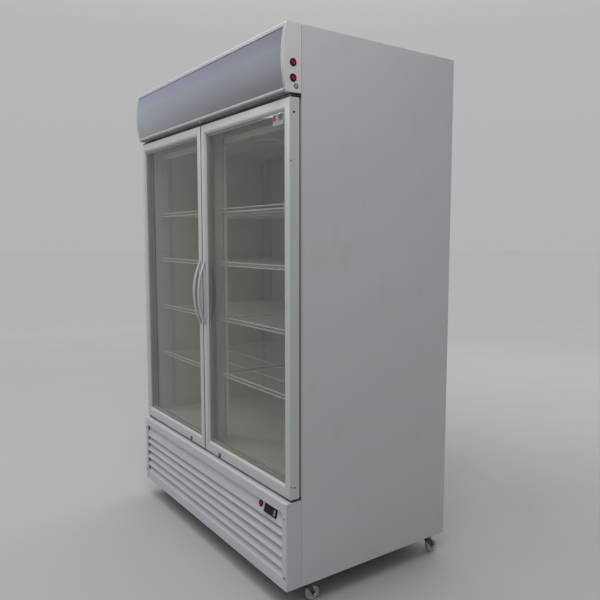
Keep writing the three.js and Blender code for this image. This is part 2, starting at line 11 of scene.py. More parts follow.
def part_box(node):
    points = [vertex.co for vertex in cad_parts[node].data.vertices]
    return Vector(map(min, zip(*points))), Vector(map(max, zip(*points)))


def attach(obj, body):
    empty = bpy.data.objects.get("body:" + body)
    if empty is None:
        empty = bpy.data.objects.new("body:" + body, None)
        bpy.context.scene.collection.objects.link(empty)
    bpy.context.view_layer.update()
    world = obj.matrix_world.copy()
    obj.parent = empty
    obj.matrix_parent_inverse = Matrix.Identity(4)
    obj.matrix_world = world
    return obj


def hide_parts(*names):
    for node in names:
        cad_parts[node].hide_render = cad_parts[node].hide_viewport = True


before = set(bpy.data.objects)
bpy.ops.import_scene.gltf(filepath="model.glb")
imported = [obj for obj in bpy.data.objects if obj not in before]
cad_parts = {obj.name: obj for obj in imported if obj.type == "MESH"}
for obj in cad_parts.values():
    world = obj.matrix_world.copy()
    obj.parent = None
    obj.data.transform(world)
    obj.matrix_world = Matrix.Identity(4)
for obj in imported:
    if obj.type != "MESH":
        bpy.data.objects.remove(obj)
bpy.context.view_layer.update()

# ---- Camera ----
CAMERA = {"place": (2.296, -1.483, 1.275), "azimuth": 55.03, "down": 5.63, "lens": 37.35}


def add_camera():
    data = bpy.data.cameras.new("camera")
    data.sensor_width = 36
    data.lens = CAMERA["lens"]
    camera = bpy.data.objects.new("camera", data)
    camera.location = CAMERA["place"]
    camera.rotation_euler = (math.radians(90 - CAMERA["down"]), 0, math.radians(CAMERA["azimuth"]))
    bpy.context.scene.collection.objects.link(camera)
    bpy.context.scene.camera = camera


add_camera()

# ---- Driving dimensions, read from the frame ----
MM = 0.001
side_low, side_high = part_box("right_side_panel")
HALF = side_high.x
FRONT = side_low.y
REAR = side_high.y
BODY_LOW = side_low.z
TOP = side_high.z
SIDES = (("left", -1), ("right", 1))


def mm(points):
    """Points given in millimetres, in metres."""
    return [tuple(value * MM for value in point) for point in points]


def on_side(sign, low, high):
    """The span low to high on the right side, or its mirror image on the left."""
    return (low, high) if sign > 0 else (-high, -low)


# ---- Materials ----


def new_material(name):
    """A material with one Principled shader, and its node tree and shader."""
    material = bpy.data.materials.new(name)
    material.use_nodes = True
    tree = material.node_tree
    return material, tree, tree.nodes["Principled BSDF"]


def noise(tree, scale, detail=2.0, stretch=(1, 1, 1)):
    """Noise in object space, scale features to the metre, drawn out by stretch."""
    coordinates = tree.nodes.new("ShaderNodeTexCoord")
    mapping = tree.nodes.new("ShaderNodeMapping")
    mapping.inputs["Scale"].default_value = stretch
    texture = tree.nodes.new("ShaderNodeTexNoise")
    texture.inputs["Scale"].default_value = scale
    texture.inputs["Detail"].default_value = detail
    tree.links.new(coordinates.outputs["Object"], mapping.inputs["Vector"])
    tree.links.new(mapping.outputs["Vector"], texture.inputs["Vector"])
    return texture.outputs["Fac"]


def ramp(tree, source, stops):
    """A colour ramp over source, from (position, colour) stops."""
    node = tree.nodes.new("ShaderNodeValToRGB")
    elements = node.color_ramp.elements
    while len(elements) < len(stops):
        elements.new(0.5)
    for element, (position, colour) in zip(elements, stops):
        element.position = position
        element.color = (*colour, 1)
    tree.links.new(source, node.inputs["Fac"])
    return node.outputs["Color"]


def remap(tree, source, low, high, start=0.3, end=0.7):
    node = tree.nodes.new("ShaderNodeMapRange")
    node.inputs["From Min"].default_value = start
    node.inputs["From Max"].default_value = end
    node.inputs["To Min"].default_value = low
    node.inputs["To Max"].default_value = high
    tree.links.new(source, node.inputs["Value"])
    return node.outputs["Result"]


def multiply(tree, first, second):
    node = tree.nodes.new("ShaderNodeMix")
    node.data_type = "RGBA"
    node.blend_type = "MULTIPLY"
    node.inputs["Factor"].default_value = 1
    tree.links.new(first, node.inputs["A"])
    tree.links.new(second, node.inputs["B"])
    return node.outputs["Result"]


def bump(tree, shader, height, strength, distance):
    node = tree.nodes.new("ShaderNodeBump")
    node.inputs["Strength"].default_value = strength
    node.inputs["Distance"].default_value = distance
    tree.links.new(height, node.inputs["Height"])
    tree.links.new(node.outputs["Normal"], shader.inputs["Normal"])


def shade(colour, factor):
    return tuple(min(1.0, channel * factor) for channel in colour)


def coated(name, colour, roughness=0.4, grain=500, depth=0.00012, dirt=0.94, specular=0.5, coat=0.0):
    """A coated or moulded surface: a fine orange-peel grain, cloudy tone and uneven gloss."""
    material, tree, shader = new_material(name)
    cloud = noise(tree, 2.2, 2.0)
    tone = ramp(tree, cloud, [(0.25, shade(colour, (1 + dirt) / 2)), (0.75, colour)])
    streaks = noise(tree, 11, 3.0, (1, 1, 0.4))
    smear = ramp(tree, streaks, [(0.22, (dirt, dirt, dirt * 0.99)), (0.42, (1, 1, 1))])
    tree.links.new(multiply(tree, tone, smear), shader.inputs["Base Color"])
    gloss = remap(tree, noise(tree, 9, 5.0), roughness - 0.06, roughness + 0.08)
    tree.links.new(gloss, shader.inputs["Roughness"])
    shader.inputs["Specular IOR Level"].default_value = specular
    shader.inputs["Coat Weight"].default_value = coat
    bump(tree, shader, noise(tree, grain, 2.0), 0.35, depth)
    return material


def brushed(name, colour, roughness=0.35, stretch=(1, 1, 18)):
    """Bare or plated metal, with fine drawn lines and dull patches."""
    material, tree, shader = new_material(name)
    lines = noise(tree, 60, 6.0, stretch)
    tone = ramp(tree, lines, [(0.3, shade(colour, 0.78)), (0.7, colour)])
    patches = ramp(tree, noise(tree, 25, 4.0), [(0.35, (0.78, 0.78, 0.77)), (0.6, (1, 1, 1))])
    tree.links.new(multiply(tree, tone, patches), shader.inputs["Base Color"])
    tree.links.new(remap(tree, lines, roughness - 0.08, roughness + 0.15), shader.inputs["Roughness"])
    shader.inputs["Metallic"].default_value = 0.9
    bump(tree, shader, lines, 0.25, 0.0001)
    return material


def lens_plastic(name):
    """The sign panel: a satin sheet with painted reflection, violet near its top and greyer below, and
    painted light that makes it paler towards its left end.
    """
    material, tree, shader = new_material(name)
    coordinates = tree.nodes.new("ShaderNodeTexCoord")
    split = tree.nodes.new("ShaderNodeSeparateXYZ")
    tree.links.new(coordinates.outputs["Generated"], split.inputs["Vector"])
    # Painted reflection: grey at the bottom, turning to a darker violet at the top.
    stops = [
        (0.0, (0.300, 0.308, 0.335)),
        (0.35, (0.310, 0.326, 0.374)),
        (0.70, (0.290, 0.310, 0.374)),
        (0.80, (0.262, 0.275, 0.348)),
        (1.0, (0.222, 0.230, 0.306)),
    ]
    tone = ramp(tree, split.outputs["Z"], stops)
    haze = ramp(tree, noise(tree, 1.6, 2.0), [(0.3, (0.96, 0.96, 0.965)), (0.65, (1, 1, 1))])
    # Painted light: paler at the left end, falling off towards the right.
    painted_side_light = [(0.0, (1, 1, 1)), (0.5, (0.80, 0.795, 0.80)), (1.0, (0.64, 0.63, 0.635))]
    along = ramp(tree, split.outputs["X"], painted_side_light)
    tree.links.new(multiply(tree, multiply(tree, tone, along), haze), shader.inputs["Base Color"])
    tree.links.new(remap(tree, noise(tree, 4, 3.0), 0.42, 0.50), shader.inputs["Roughness"])
    shader.inputs["Specular IOR Level"].default_value = 0.22
    bump(tree, shader, noise(tree, 120, 2.0), 0.1, 0.0001)
    return material


def pane_glass(name, tint, head_on, grazing):
    """A thin pane: what is behind it shows through tinted, and it mirrors more at a shallow angle."""
    material, tree, shader = new_material(name)
    tree.nodes.remove(shader)
    mirror = tree.nodes.new("ShaderNodeBsdfGlossy")
    mirror.inputs["Color"].default_value = (0.92, 0.95, 0.93, 1)
    smudges = remap(tree, noise(tree, 6, 6.0, (1, 1, 0.5)), 0.02, 0.09, 0.4, 0.8)
    tree.links.new(smudges, mirror.inputs["Roughness"])
    clear = tree.nodes.new("ShaderNodeBsdfTransparent")
    clear.inputs["Color"].default_value = (*tint, 1)
    angle = tree.nodes.new("ShaderNodeLayerWeight")
    angle.inputs["Blend"].default_value = 0.5
    power = tree.nodes.new("ShaderNodeMath")
    power.operation = "POWER"
    power.inputs[1].default_value = 5
    tree.links.new(angle.outputs["Facing"], power.inputs[0])
    share = remap(tree, power.outputs["Value"], head_on, grazing, 0.0, 1.0)
    mix = tree.nodes.new("ShaderNodeMixShader")
    tree.links.new(share, mix.inputs["Fac"])
    tree.links.new(clear.outputs["BSDF"], mix.inputs[1])
    tree.links.new(mirror.outputs["BSDF"], mix.inputs[2])
    tree.links.new(mix.outputs["Shader"], tree.nodes["Material Output"].inputs["Surface"])
    return material


def clear_red(name):
    """Dark translucent red plastic of the switch buttons, brighter and darker in small random patches."""
    material, tree, shader = new_material(name)
    tone = ramp(tree, noise(tree, 120, 3.0), [(0.35, (0.26, 0.004, 0.008)), (0.65, (0.44, 0.007, 0.014))])
    tree.links.new(tone, shader.inputs["Base Color"])
    tree.links.new(remap(tree, noise(tree, 60, 2.0), 0.34, 0.48), shader.inputs["Roughness"])
    shader.inputs["Specular IOR Level"].default_value = 0.1
    return material


def colour_blocks(name):
    """A printed film with four plain coloured blocks over a pale strip."""
    material, tree, shader = new_material(name)
    coordinates = tree.nodes.new("ShaderNodeTexCoord")
    split = tree.nodes.new("ShaderNodeSeparateXYZ")
    tree.links.new(coordinates.outputs["Generated"], split.inputs["Vector"])
    paper = (0.31, 0.32, 0.335)
    blocks = ramp(tree, split.outputs["X"], [
        (0.0, paper), (0.04, (0.26, 0.014, 0.045)), (0.27, (0.36, 0.29, 0.09)), (0.48, paper),
        (0.52, (0.025, 0.17, 0.055)), (0.74, (0.03, 0.15, 0.32)), (0.92, paper),
    ])
    blocks.node.color_ramp.interpolation = "CONSTANT"
    strip = ramp(tree, split.outputs["Z"], [(0.0, (0, 0, 0)), (0.42, (1, 1, 1)), (0.94, (0, 0, 0))])
    strip.node.color_ramp.interpolation = "CONSTANT"
    mix = tree.nodes.new("ShaderNodeMix")
    mix.data_type = "RGBA"
    mix.inputs["A"].default_value = (*paper, 1)
    tree.links.new(strip, mix.inputs["Factor"])
    tree.links.new(blocks, mix.inputs["B"])
    fade = ramp(tree, noise(tree, 90, 3.0), [(0.3, (0.86, 0.86, 0.86)), (0.6, (1, 1, 1))])
    tree.links.new(multiply(tree, mix.outputs["Result"], fade), shader.inputs["Base Color"])
    tree.links.new(remap(tree, noise(tree, 80, 2.0), 0.4, 0.55), shader.inputs["Roughness"])
    shader.inputs["Specular IOR Level"].default_value = 0.2
    return material


SHELL = coated("white_powder_coat", (0.52, 0.51, 0.54), 0.42)
FRONT_WHITE = coated("front_powder_coat", (0.49, 0.49, 0.53), 0.40)
CAP_WHITE = coated("cap_plastic", (0.58, 0.575, 0.60), 0.34, grain=260)
DOOR_WHITE = coated("door_plastic", (0.47, 0.50, 0.485), 0.36, grain=220)
LINER = coated("liner_coat", (0.64, 0.65, 0.62), 0.45)
TRIM = coated("trim_plastic", (0.50, 0.52, 0.53), 0.34, grain=260)
# Painted shade: a light grey trim darkened to stand in for the shade on the header's trims, brackets and cap
# edges.
SHADED_TRIM = coated("sign_trim_painted_shade", (0.35, 0.37, 0.375), 0.42, grain=260)
HANDLE = coated("handle_plastic", (0.40, 0.42, 0.43), 0.34, grain=220)
LIGHT_STRIP = coated("light_strip_cover", (0.80, 0.86, 0.80), 0.3, grain=200)
WIRE = coated("wire_coat", (0.78, 0.80, 0.79), 0.35, grain=300)
# Real gasket rubber, also used for dark strips that stand in for shade in gaps.
RUBBER = coated("gasket_rubber", (0.055, 0.057, 0.055), 0.7, grain=400)
SPACER = coated("glass_spacer", (0.27, 0.28, 0.25), 0.5, grain=400)
BLACK = coated("black_plastic", (0.009, 0.009, 0.010), 0.55, dirt=0.7, specular=0.2)
KEYPAD = coated("key_film", (0.16, 0.16, 0.165), 0.4, grain=300)
SCREEN = coated(
    "display_window", (0.005, 0.005, 0.007), 0.4, grain=80, depth=0.00002, dirt=0.8, specular=0.2,
)
ENAMEL = coated("black_enamel", (0.016, 0.016, 0.018), 0.3, grain=300, dirt=0.7, coat=0.4)
CASTER = coated("caster_nylon", (0.46, 0.45, 0.39), 0.5, grain=200, dirt=0.8)
NUT = coated("nut_plating", (0.68, 0.69, 0.68), 0.28)
LAMP = coated("lamp_tube", (0.82, 0.84, 0.86), 0.3)
ZINC = brushed("zinc_plate", (0.34, 0.34, 0.34), 0.42)
DARK_ZINC = brushed("caster_steel", (0.12, 0.12, 0.12), 0.45)
CHROME = brushed("bright_plate", (0.62, 0.63, 0.65), 0.2)
FINS = brushed("bare_fins", (0.55, 0.57, 0.58), 0.4, (1, 1, 4))
LENS = lens_plastic("header_lens")
RED = clear_red("switch_red")
GLASS = pane_glass("tinted_pane", (0.925, 0.93, 0.915), 0.035, 0.5)
STICKER = colour_blocks("sticker_film")

# ---- Builders ----


def to_object(name, mesh, material, sharp=35):
    """An object around a mesh: outward faces, smooth shading and edges left sharp above an angle."""
    work = bmesh.new()
    work.from_mesh(mesh)
    bmesh.ops.recalc_face_normals(work, faces=work.faces)
    work.to_mesh(mesh)
    work.free()
    for polygon in mesh.polygons:
        polygon.use_smooth = True
    mesh.set_sharp_from_angle(angle=math.radians(sharp))
    mesh.materials.append(material)
    piece = bpy.data.objects.new(name, mesh)
    bpy.context.scene.collection.objects.link(piece)
    return piece


def from_data(name, vertices, faces, material, sharp=35):
    mesh = bpy.data.meshes.new(name)
    mesh.from_pydata([tuple(v) for v in vertices], [], faces)
    return to_object(name, mesh, material, sharp)


def prism(name, outline, axis, low, high, material, sharp=35):
    """A closed outline drawn out along an axis: (y, z) along x, (x, z) along y or (x, y) along z."""
    def place(u, v, w):
        return {"x": (w, u, v), "y": (u, w, v), "z": (u, v, w)}[axis]
    count = len(outline)
    vertices = [place(u, v, w) for w in (low, high) for u, v in outline]
    faces = [(i, (i + 1) % count, (i + 1) % count + count, i + count) for i in range(count)]
    faces += [tuple(range(count)), tuple(range(2 * count - 1, count - 1, -1))]
    return from_data(name, vertices, faces, material, sharp)


def block(name, x, y, z, material, radius=0.0, segments=3):
    piece = prism(name, [(x[0], y[0]), (x[1], y[0]), (x[1], y[1]), (x[0], y[1])], "z", z[0], z[1], material)
    if radius:
        soften(piece, radius, segments)
    return piece


def ring(name, profile, x, z, material, scale=(1, 1, 1, 1), sharp=35):
    """A closed (inset, y) profile swept round the rectangle x by z with mitred corners.
    scale multiplies the insets at the left, right, bottom and top."""
    left, right, bottom, top = scale
    corners = [
        (x[0], left, z[0], bottom), (x[1], -right, z[0], bottom),
        (x[1], -right, z[1], -top), (x[0], left, z[1], -top),
    ]
    vertices = [
        (cx + ux * inset, y, cz + uz * inset) for cx, ux, cz, uz in corners for inset, y in profile
    ]
    count = len(profile)
    faces = []
    for corner in range(4):
        here = corner * count
        there = (corner + 1) % 4 * count
        for i in range(count):
            j = (i + 1) % count
            faces.append((here + i, here + j, there + j, there + i))
    return from_data(name, vertices, faces, material, sharp)


def lathe(name, profile, material, place, segments=48, sharp=35):
    """A (radius, height) profile turned about local +Z and moved by the matrix place."""
    vertices = []
    rows = []
    for radius, height in profile:
        if radius < 1e-7:
            rows.append([len(vertices)] * segments)
            vertices.append(place @ Vector((0, 0, height)))
            continue
        rows.append(list(range(len(vertices), len(vertices) + segments)))
        for i in range(segments):
            angle = 2 * math.pi * i / segments
            point = (radius * math.cos(angle), radius * math.sin(angle), height)
            vertices.append(place @ Vector(point))
    faces = []
    for low, high in zip(rows, rows[1:]):
        for i in range(segments):
            j = (i + 1) % segments
            corners = [low[i], low[j], high[j], high[i]]
            faces.append(tuple(dict.fromkeys(corners)))
    return from_data(name, vertices, faces, material, sharp)


def facing_x(x, y, z, sign=1):
    return Matrix.Translation((x, y, z)) @ Matrix.Rotation(math.radians(90 * sign), 4, "Y")


def facing_front(x, y, z):
    return Matrix.Translation((x, y, z)) @ Matrix.Rotation(math.radians(90), 4, "X")


def facing_rear(x, y, z):
    return Matrix.Translation((x, y, z)) @ Matrix.Rotation(math.radians(-90), 4, "X")


def tubes(name, paths, material, sides=8):
    """Round wires along (points, radius) paths, joined in one mesh."""
    vertices = []
    faces = []
    for points, radius in paths:
        points = [Vector(p) for p in points]
        start = len(vertices)
        for i, point in enumerate(points):
            before = points[max(i - 1, 0)]
            after = points[min(i + 1, len(points) - 1)]
            along = (after - before).normalized()
            level = abs(along.z) < 0.9 and abs(along.x) > 0.5
            guide = Vector((0, 0, 1)) if level else Vector((1, 0, 0))
            across = along.cross(guide).normalized()
            other = along.cross(across)
            for k in range(sides):
                angle = 2 * math.pi * k / sides
                vertices.append(point + radius * (math.cos(angle) * across + math.sin(angle) * other))
        for i in range(len(points) - 1):
            for k in range(sides):
                m = (k + 1) % sides
                low = start + i * sides
                faces.append((low + k, low + m, low + sides + m, low + sides + k))
        faces.append(tuple(start + k for k in range(sides)))
        last = start + (len(points) - 1) * sides
        faces.append(tuple(last + k for k in reversed(range(sides))))
    return from_data(name, vertices, faces, material, 50)


def soften(piece, width, segments=3, angle=35):
    """Rounds every edge sharper than angle."""
    modifier = piece.modifiers.new("rounded edges", "BEVEL")
    modifier.width = width
    modifier.segments = segments
    modifier.limit_method = "ANGLE"
    modifier.angle_limit = math.radians(angle)
    modifier.harden_normals = True
    return piece


def cut(piece, cutter):
    """Takes the cutter's shape out of piece and removes the cutter."""
    modifier = piece.modifiers.new("cut", "BOOLEAN")
    modifier.object = cutter
    modifier.operation = "DIFFERENCE"
    modifier.solver = "EXACT"
    settle(piece)
    bpy.data.objects.remove(cutter)
    return piece


def settle(piece):
    """Turns the modifiers of piece into plain mesh."""
    bpy.context.view_layer.update()
    evaluated = piece.evaluated_get(bpy.context.evaluated_depsgraph_get())
    mesh = bpy.data.meshes.new_from_object(evaluated)
    piece.modifiers.clear()
    piece.data = mesh
    return piece


def fit(piece, body, slot, *nodes):
    """Puts a finished piece on its body and hides the CAD nodes that it stands for. The slot argument is not
    used.
    """
    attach(piece, body)
    if nodes:
        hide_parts(*nodes)
    return piece


def dress(node, material, radius=0.0008, segments=2):
    """Gives a CAD node its finish and small rounded edges."""
    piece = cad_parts[node]
    piece.data.materials.clear()
    piece.data.materials.append(material)
    if radius:
        weld = piece.modifiers.new("one skin", "WELD")
        weld.merge_threshold = 0.00001
        soften(piece, radius, segments)


def arc(centre, radius, start, end, steps=6):
    """Points on an arc, angles in degrees."""
    points = []
    for i in range(steps + 1):
        angle = math.radians(start + (end - start) * i / steps)
        points.append((centre[0] + radius * math.cos(angle), centre[1] + radius * math.sin(angle)))
    return points


# ---- Cabinet ----


def cabinet():
    for node in ("left_side_panel", "right_side_panel", "top_panel"):
        dress(node, SHELL, 0.0010)
    for node in ("back_panel", "rear_cover"):
        dress(node, SHELL, 0.0004)
    liners = ("left_wall", "right_wall", "ceiling", "floor", "back_wall")
    for node in (f"liner_{name}" for name in liners):
        dress(node, LINER, 0.0015)
    dress("face_frame", LINER, 0.002)
    dress("base_frame", ZINC, 0.0006)
    dress("header_housing", CAP_WHITE, 0.0004)


def screw(name, place, radius, body, material=CHROME, slot="bright_metal", recess=True):
    """A pan-headed screw with a cross recess, its head towards the local +Z of place."""
    dome = [(0, 0.42), (0.45, 0.38), (0.8, 0.22), (1.0, 0.05), (1.0, 0.0), (0, 0.0)]
    head = lathe(name, [(r * radius, h * radius) for r, h in dome], material, place, 24)
    if recess:
        arm = radius * 0.13
        for turn in (0, 90):
            span = (-radius * 0.55, radius * 0.55)
            cross = block("recess", span, (-arm, arm), (radius * 0.2, radius), material)
            cross.data.transform(place @ Matrix.Rotation(math.radians(turn), 4, "Z"))
            cut(head, cross)
    return fit(head, body, slot)


def rear_details():
    for sign in (-1, 1):
        for i, z in enumerate((0.48, 0.85, 1.22, 1.59, 1.90)):
            screw(f"back_screw_{'left' if sign < 0 else 'right'}_{i + 1}",
                  facing_rear(sign * (HALF - 0.026), REAR, z), 0.0042, "cabinet")
    for i, x in enumerate((-0.45, -0.15, 0.15, 0.45)):
        screw(f"back_top_screw_{i + 1}", facing_rear(x, REAR, TOP - 0.02), 0.0042, "cabinet")
        screw(f"cover_screw_{i + 1}", facing_rear(x, REAR, 0.373), 0.0042, "cabinet")
    for side, sign in SIDES:
        for i, height in enumerate((170, 1700)):
            x = on_side(sign, HALF - 26 * MM, HALF - 4 * MM)
            z = BODY_LOW + height * MM
            pad = block(f"wall_spacer_{side}_{i + 1}", x, (REAR, REAR + 6 * MM), (z - 11 * MM, z + 11 * MM),
                        CAP_WHITE, 1.5 * MM, 3)
            fit(pad, "cabinet", "header_trim")
    for side, sign in SIDES:
        disc = [(0, 0.5), (5.0, 0.4), (6.2, 0.0), (6.2, -0.2), (0, -0.2)]
        place = facing_x(sign * HALF, FRONT + 30 * MM, BODY_LOW + 1572 * MM, sign)
        plug = lathe(f"side_plug_{side}", mm(disc), SHELL, place, 32)
        fit(plug, "cabinet", "white_shell")


# ---- Header light box ----
header_low, header_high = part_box("header_end_cap_right")
HEADER_LOW = header_low.z
HEADER_DEPTH = 57 * MM
HEADER_BULGE = 13 * MM
CAP_INSIDE = header_low.x
header_span = TOP - HEADER_LOW
header_radius = ((header_span / 2) ** 2 + HEADER_BULGE ** 2) / (2 * HEADER_BULGE)
header_middle = (TOP + HEADER_LOW) / 2


def bulge(z, inset=0.0):
    """Y of the header's curved front at a height, set back by inset."""
    radius = header_radius - inset
    rise = math.sqrt(radius ** 2 - (z - header_middle) ** 2) - (header_radius - HEADER_BULGE)
    return FRONT - HEADER_DEPTH - rise


def bulge_points(low, high, inset, steps=40):
    heights = [low + (high - low) * i / steps for i in range(steps + 1)]
    return [(bulge(z, inset), z) for z in heights]


def header():
    inside = CAP_INSIDE - 0.5 * MM
    lens_low = HEADER_LOW + 14 * MM
    lens_high = TOP - 17 * MM
    outer = bulge_points(lens_low, lens_high, 2 * MM)
    inner = bulge_points(lens_high, lens_low, 5 * MM)
    lens = prism("sign_lens", outer + inner, "x", -inside, inside, LENS)
    fit(lens, "cabinet", "lens", "header_lens")

    lip = bulge(TOP - 12 * MM)
    fold = 9 * MM
    strip = arc((lip + fold, TOP - fold - 0.3 * MM), fold, 90, 180, 10)
    strip += [(lip, TOP - 14.6 * MM), (lip + 1.2 * MM, TOP - 15.6 * MM)]
    strip += [(lip + 12 * MM, TOP - 15.6 * MM), (lip + 12 * MM, TOP - 0.3 * MM)]
    # The top trim takes the darkened trim grey, as painted shade.
    fit(prism("sign_top_trim", strip, "x", -inside, inside, SHADED_TRIM), "cabinet", "header_trim")
    # Painted shade: a dark strip behind the gap under the top trim, darkening that gap.
    top_gap_shade_y = (lip + 2.6 * MM, lip + 6 * MM)
    seal = block("sign_top_gap_shade", (-inside, inside), top_gap_shade_y, (TOP - 17.6 * MM, TOP - 15 * MM), RUBBER)
    fit(seal, "cabinet", "gasket_rubber")

    rail_low, rail_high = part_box("header_bottom_trim")
    low, high = rail_low.z, rail_high.z
    out, back = rail_low.y, rail_high.y
    rail = [(out + 4 * MM, low), (out + 0.8 * MM, low + 2.4 * MM)]
    rail += arc((out + 6.5 * MM, high - 6.5 * MM), 6.5 * MM, 184, 90, 10)
    rail += [(out + 9 * MM, high - 1 * MM), (back, high - 1 * MM), (back, low)]
    # The bottom rail takes the darkened trim grey, as painted shade.
    piece = soften(prism("sign_bottom_trim", rail, "x", -inside, inside, SHADED_TRIM), 0.6 * MM, 2, 50)
    fit(piece, "cabinet", "header_trim", "header_bottom_trim")
    # Painted shade: a dark plate under the bottom rail, standing in for the shadowed soffit.
    shade_y = (back, FRONT - 0.5 * MM)
    soffit = block("sign_soffit_shade", (-inside, inside), shade_y, (low + 1 * MM, low + 3 * MM), RUBBER)
    fit(soffit, "cabinet", "gasket_rubber")
    # Painted shade: a dark strip on the face frame over the doors, darkening the gap under the header.
    over_doors = (BODY_LOW + 1637.5 * MM, low + 1 * MM)
    over_door_shade_y = (FRONT - 1.4 * MM, FRONT - 0.2 * MM)
    over_door_shade = block("over_door_painted_shade", (-inside, inside), over_door_shade_y, over_doors, RUBBER)
    fit(over_door_shade, "cabinet", "gasket_rubber")
    bracket_z = (low - 7 * MM, low + 0.5 * MM)
    for label, middle in (("centre", 16 * MM), ("left", -HALF + 26 * MM)):
        tab_x = (middle - 8 * MM, middle + 8 * MM)
        tab_y = (out + 6 * MM, out + 9 * MM)
        tab = block(f"sign_bracket_{label}", tab_x, tab_y, bracket_z, SHADED_TRIM, 0.8 * MM, 2)
        fit(tab, "cabinet", "header_trim")
    dress("header_lamp", LAMP, 0.001)


def end_cap(side, sign, holes):
    corner = 9 * MM
    front = FRONT - HEADER_DEPTH
    rear = FRONT - 1.6 * MM
    centre = (front + corner - 1 * MM, HEADER_LOW + corner)
    outline = [(rear, HEADER_LOW)] + arc(centre, corner, 270, 180, 8)
    outline += bulge_points(HEADER_LOW + corner + 4 * MM, TOP, 0) + [(rear, TOP)]
    reach = on_side(sign, CAP_INSIDE, HALF)
    cap = prism(f"end_cap_{side}", outline, "x", reach[0], reach[1], CAP_WHITE)
    for y, z, radius in holes:
        place = facing_x(reach[0] - 5 * MM, y, z)
        cut(cap, lathe("hole", [(0, 0), (radius, 0), (radius, 30 * MM), (0, 30 * MM)], CAP_WHITE, place))
    soften(cap, 1.6 * MM, 3, 50)
    fit(cap, "cabinet", "white_shell", f"header_end_cap_{side}")
    # Painted shade: a dark grey strip over the cap's front edge, standing in for the shade on that edge.
    rim = bulge_points(HEADER_LOW + 14 * MM, TOP - 6 * MM, -0.3 * MM)
    rim += list(reversed(bulge_points(HEADER_LOW + 14 * MM, TOP - 6 * MM, 1.5 * MM)))
    shaded_rim_x = on_side(sign, CAP_INSIDE + 1.2 * MM, HALF - 2.4 * MM)
    shaded_edging = prism(f"end_cap_shaded_rim_{side}", rim, "x", *shaded_rim_x, SHADED_TRIM)
    fit(shaded_edging, "cabinet", "header_trim")
    # Painted shade: a dark strip in the seam between the cap and the side panel.
    seam_x = on_side(sign, CAP_INSIDE + 2 * MM, HALF - 1.8 * MM)
    seam_y = (FRONT - 3 * MM, FRONT - 0.3 * MM)
    seam = block(f"cap_seam_shade_{side}", seam_x, seam_y, (HEADER_LOW + 4 * MM, TOP - 3 * MM), RUBBER)
    fit(seam, "cabinet", "gasket_rubber")


def rocker(name, node, body, place, tip):
    """A round rocker: a black bezel on the wall, and a red dished button that moves on its own body."""
    bezel = [(8.2, -6), (8.2, 1.8), (8.8, 2.6), (10.6, 2.6), (12.2, 1.6), (12.6, 0.2), (9.4, 0.2), (9.4, -6)]
    bezel.append(bezel[0])
    frame_piece = lathe(f"{name}_bezel", mm(bezel), BLACK, place)
    fit(frame_piece, "cabinet", "black_plastic")
    button = [(0, 0.6), (2.5, 0.8), (5.2, 1.5), (7.0, 2.6), (7.5, 2.2), (7.5, -2.0)]
    button += [(5.4, -2.2), (5.4, -7), (0, -7)]
    piece = lathe(f"{name}_button", mm(button), RED, place @ tip)
    fit(piece, body, "red_button", node)


def header_controls():
    holes = []
    for name in ("header_light_rocker", "header_fan_rocker"):
        low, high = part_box(name)
        y, z = (low.y + high.y) / 2, (low.z + high.z) / 2
        holes.append((y, z, 9.4 * MM))
        tip = Matrix.Rotation(math.radians(-10), 4, "Y")
        rocker(name, name, name, facing_x(HALF, y, z), tip)
    low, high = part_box("header_cap_screw")
    y, z = (low.y + high.y) / 2, (low.z + high.z) / 2
    place = facing_x(HALF, y, z)
    washer = [(0, -3), (8.2, -3), (8.2, 0.9), (7.4, 1.7), (5.6, 1.8), (4.6, 0.9), (0, 0.9)]
    piece = lathe("cap_fastener", mm(washer), ZINC, place)
    fit(piece, "cabinet", "zinc_steel", "header_cap_screw")
    dome = [(0, 0.5), (4.3, 0.5), (4.3, 1.4), (3.2, 2.8), (1.6, 3.5), (0, 3.7)]
    piece = lathe("cap_fastener_dome", mm(dome), CHROME, place)
    fit(piece, "cabinet", "bright_metal")
    holes.append((y, z, 8.6 * MM))
    end_cap("right", 1, holes)
    end_cap("left", -1, [])


# ---- Front grille panel ----
grille_low, grille_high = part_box("grille_panel")
GRILLE_TOP = grille_high.z
GRILLE_FRONT = grille_low.y
WINDOW_HALF = HALF - 28 * MM
WINDOW_TOP = BODY_LOW + 270 * MM
FIELD_LOW = BODY_LOW + 217 * MM
CRESTS = [BODY_LOW + (184 - 38 * i) * MM for i in range(5)]
WINDOW_LOW = CRESTS[-1] - 1 * MM
FIELD_Y = GRILLE_FRONT + 7 * MM
FIELD_DEEP = GRILLE_FRONT + 12 * MM
FIELD_TILT = math.atan2(10 * MM, WINDOW_TOP - FIELD_LOW)
CREST_Y = GRILLE_FRONT + 1.5 * MM
VALLEY_Y = GRILLE_FRONT + 20 * MM


